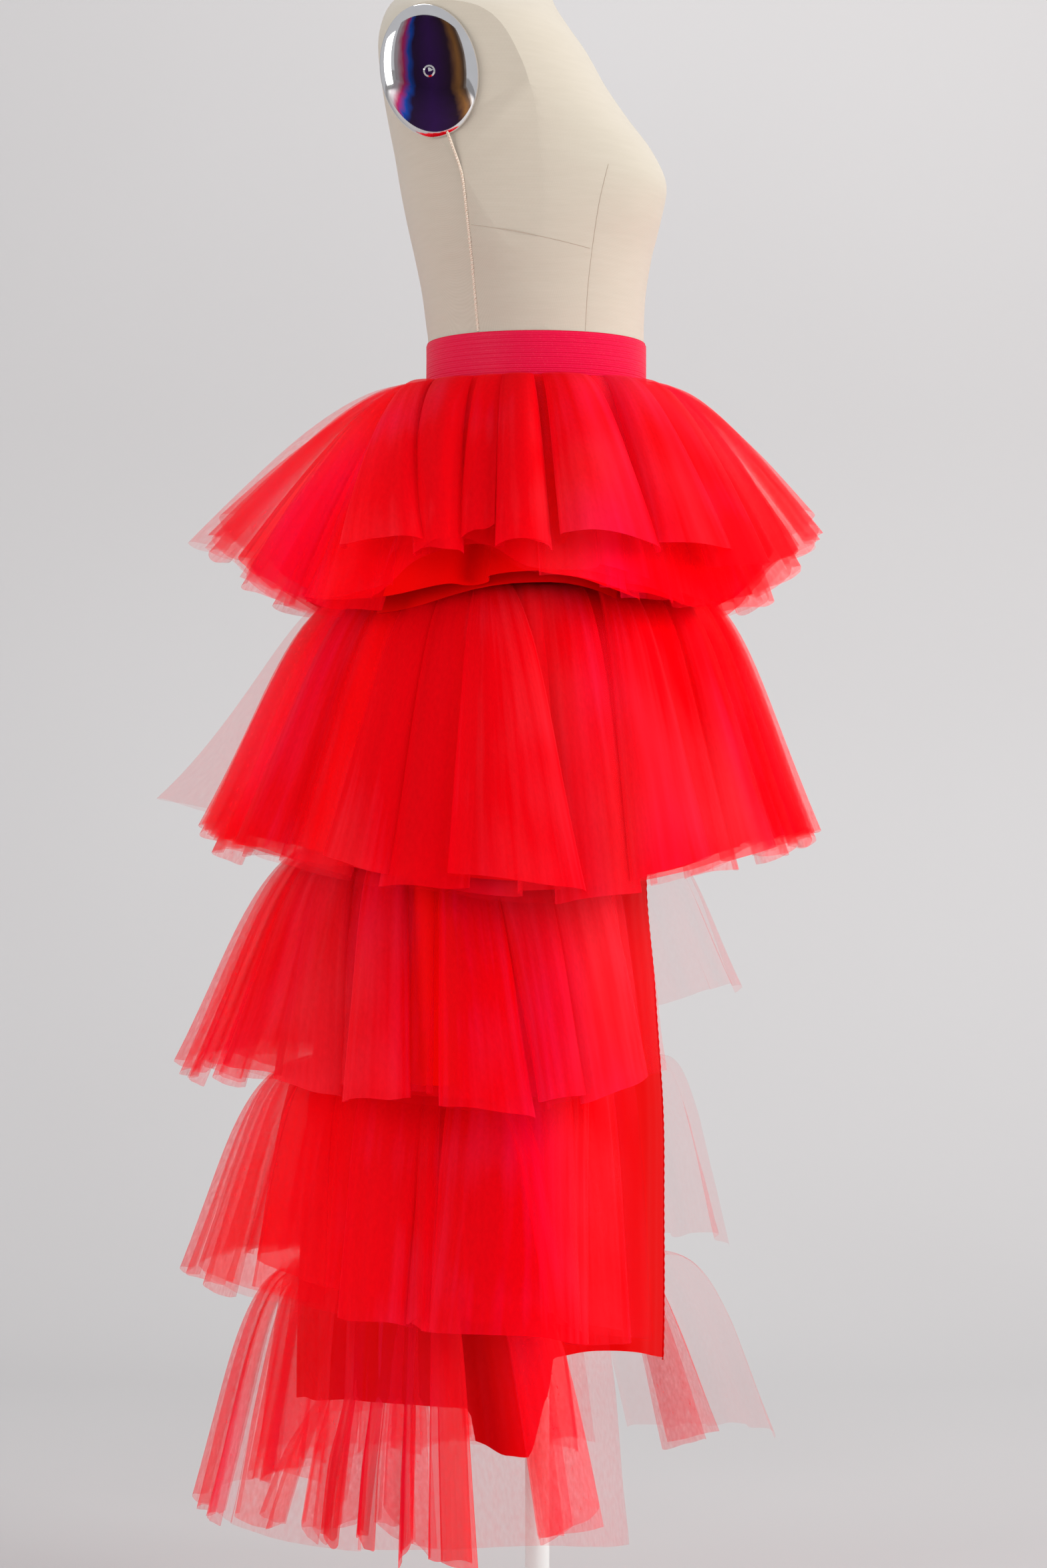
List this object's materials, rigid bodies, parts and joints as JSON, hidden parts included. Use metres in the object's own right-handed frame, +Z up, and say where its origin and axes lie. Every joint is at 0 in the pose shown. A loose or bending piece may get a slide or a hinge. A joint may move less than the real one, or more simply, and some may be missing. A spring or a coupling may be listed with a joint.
{
  "type": "tulle skirt on dress form",
  "caption": "High-low ruffled tulle skirt in gathered tiers over a satin slip with a front slit and an elastic waistband, on a limbless dress form and stand.",
  "frame": {"origin": "centre of the stand's underside, on the floor", "axes": "+Z up along the pole; the garment's front faces -Y; the wearer's left is +X"},
  "size_m": [0.6045, 0.5808, 1.5763],
  "materials": {
    "form_linen": "cream stretched linen, matt",
    "chrome": "mirror chrome",
    "stand_paint": "pale satin paint",
    "elastic": "ribbed red elastic with a slight sheen",
    "satin": "deep red satin",
    "tulle": "sheer red net, layered"
  },
  "bodies": {
    "root": {"torso": "form_linen", "arm_plate_left": "chrome", "arm_plate_right": "chrome", "arm_screw_left": "chrome", "arm_screw_right": "chrome", "neck_cap": "chrome", "stand_base": "stand_paint", "stand_pole": "stand_paint", "waistband": "elastic", "slip_back": "satin", "slip_front_left": "satin", "slip_front_right": "satin", "tier_1": "tulle", "tier_2": "tulle", "tier_3": "tulle", "tier_4": "tulle", "tier_5": "tulle"}
  },
  "joints": []
}
